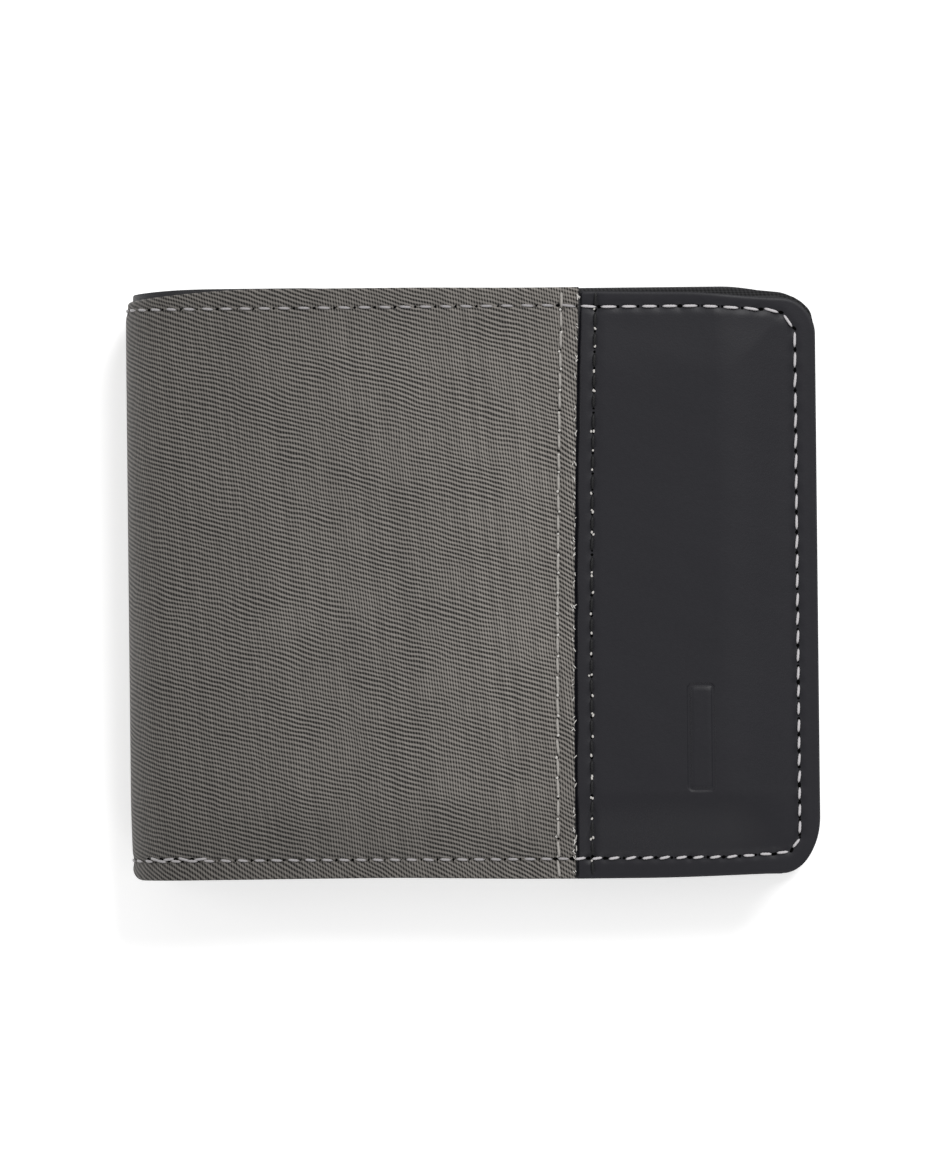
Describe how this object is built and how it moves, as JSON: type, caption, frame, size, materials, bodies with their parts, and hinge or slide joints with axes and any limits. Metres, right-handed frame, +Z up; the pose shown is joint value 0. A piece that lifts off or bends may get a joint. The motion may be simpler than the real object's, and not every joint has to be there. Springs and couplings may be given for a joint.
{
  "type": "bifold wallet",
  "caption": "Closed bifold wallet with a twill middle, leather ends, a full-length bill compartment and stepped card pockets in both halves; it folds open flat.",
  "frame": {"origin": "centre of the closed wallet's footprint, on the surface that its rear cover lies on", "axes": "+X from the folded spine to the free edge, +Y to the mouth of the bill compartment, +Z up out of the front cover"},
  "size_m": [0.111, 0.095, 0.02],
  "materials": {
    "twill_fabric": "grey twill with light and dark yarns",
    "black_leather": "smooth, satin black",
    "stiffener_board": "pressed fibre sheet, hidden",
    "lining_fabric": "plain black woven lining",
    "binding_tape": "ribbed black woven tape",
    "grey_thread": "light grey twisted thread",
    "black_thread": "black twisted thread"
  },
  "bodies": {
    "rear_half": {"rear_bill_wall": "lining_fabric", "rear_bill_wall_tape": "binding_tape", "rear_bottom_hem": "lining_fabric", "rear_card_backing": "black_leather", "rear_card_pocket_1": "black_leather", "rear_card_pocket_2": "black_leather", "rear_card_pocket_3": "black_leather", "rear_card_pocket_hem_1": "lining_fabric", "rear_card_pocket_hem_2": "lining_fabric", "rear_card_pocket_hem_3": "lining_fabric", "rear_cover_board": "stiffener_board", "rear_cover_fabric": "twill_fabric", "rear_cover_leather": "black_leather", "rear_cover_lining": "lining_fabric", "rear_edge_thread": "grey_thread", "rear_leather_thread": "black_thread", "rear_pocket_thread": "black_thread", "rear_seam_thread": "grey_thread", "rear_side_hem": "black_leather"},
    "spine": {"spine_bill_wall": "lining_fabric", "spine_bill_wall_tape": "binding_tape", "spine_bottom_hem": "lining_fabric", "spine_fabric": "twill_fabric", "spine_lining": "lining_fabric", "spine_thread_bottom": "grey_thread", "spine_thread_top": "grey_thread"},
    "front_half": {"front_bill_wall": "lining_fabric", "front_bill_wall_tape": "binding_tape", "front_bottom_hem": "lining_fabric", "front_card_backing": "black_leather", "front_card_pocket_1": "black_leather", "front_card_pocket_2": "black_leather", "front_card_pocket_3": "black_leather", "front_card_pocket_hem_1": "lining_fabric", "front_card_pocket_hem_2": "lining_fabric", "front_card_pocket_hem_3": "lining_fabric", "front_cover_board": "stiffener_board", "front_cover_fabric": "twill_fabric", "front_cover_leather": "black_leather", "front_cover_lining": "lining_fabric", "front_edge_thread": "grey_thread", "front_leather_thread": "black_thread", "front_pocket_thread": "black_thread", "front_seam_thread": "grey_thread", "front_side_hem": "black_leather"}
  },
  "joints": [
    {"name": "fold_rear", "type": "hinge", "parent": "rear_half", "child": "spine", "pos_m": [-0.05368, 0, 0.00182], "axis": [0, -1, 0], "range_deg": [0, 90]},
    {"name": "fold_front", "type": "hinge", "parent": "spine", "child": "front_half", "pos_m": [-0.05368, 0, 0.01818], "axis": [0, -1, 0], "range_deg": [0, 90]}
  ],
  "couplings": [
    {"joint": "fold_front", "follows": "fold_rear", "ratio": 1}
  ]
}
